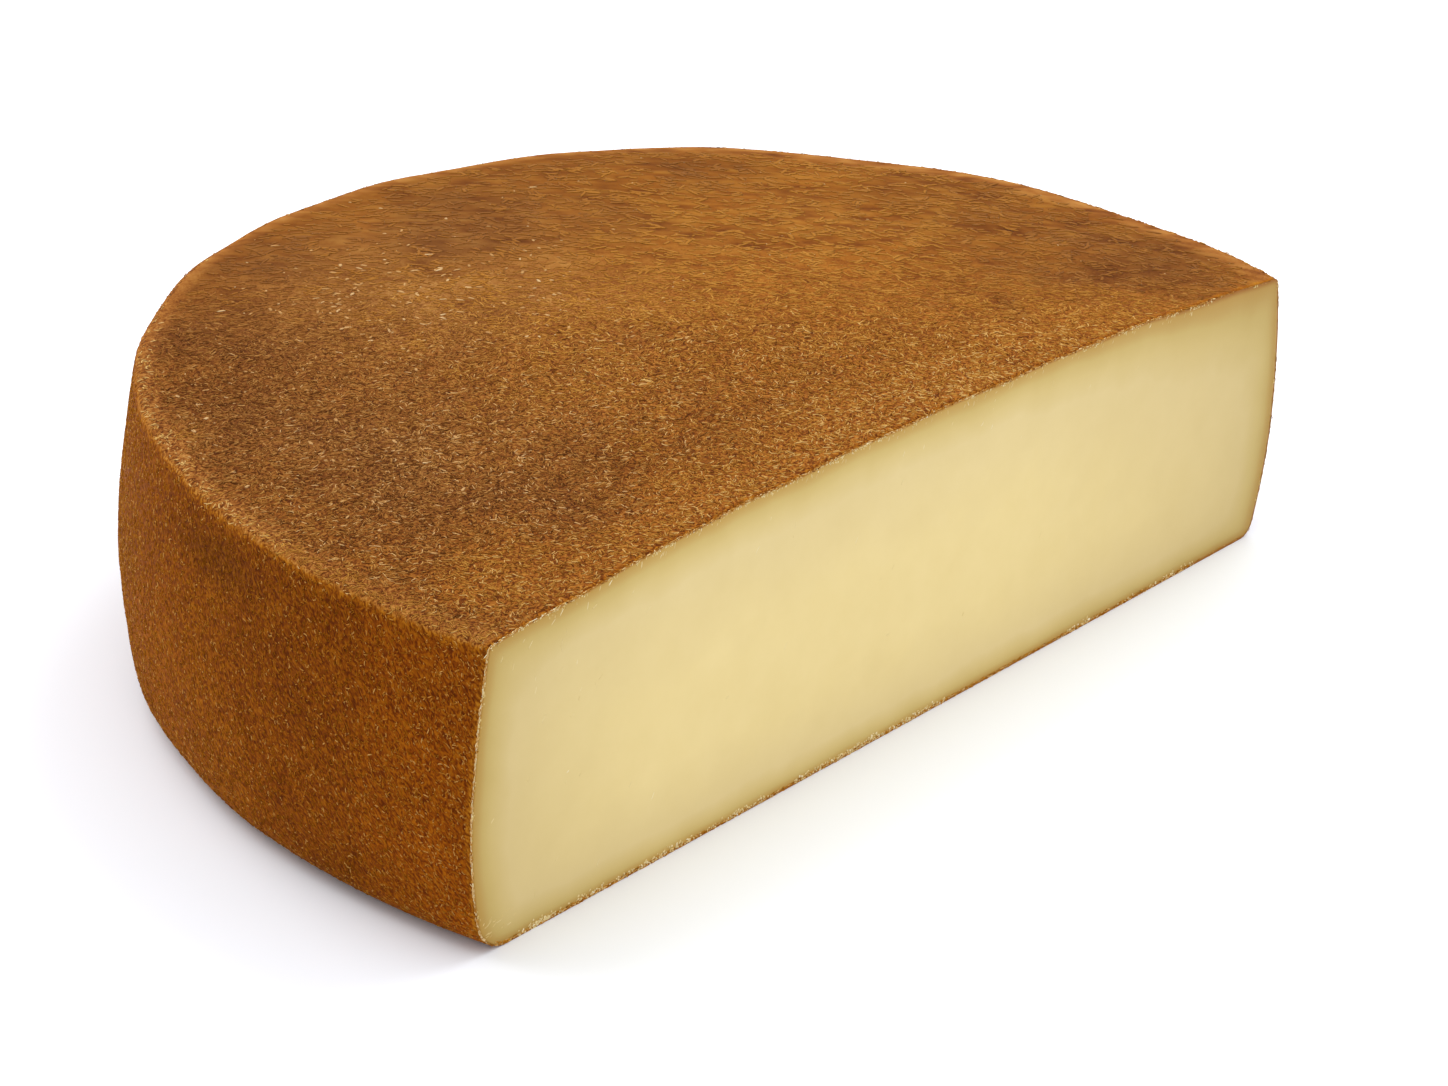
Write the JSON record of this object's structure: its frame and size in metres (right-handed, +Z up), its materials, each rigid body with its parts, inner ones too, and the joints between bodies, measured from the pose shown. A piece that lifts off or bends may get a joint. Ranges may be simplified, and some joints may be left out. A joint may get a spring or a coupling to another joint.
{
  "type": "cut cheese wheel",
  "caption": "Brown washed-rind cheese wheel with a crisp domed top, cut straight across so that more than half of it is left and one flat pale face shows.",
  "frame": {"origin": "middle of the footprint, on the flat underside that the cheese rests on", "axes": "+Z up, through the wheel from the underside to the domed top; the cut face looks along -Y; X runs along the cut"},
  "size_m": [0.3108, 0.1954, 0.0818],
  "materials": {
    "rind": "dry matt brown washed rind with a fine matted surface",
    "paste": "smooth pale yellow cut cheese, slightly moist and translucent"
  },
  "bodies": {
    "root": {"cut_wheel": "rind"}
  },
  "joints": []
}
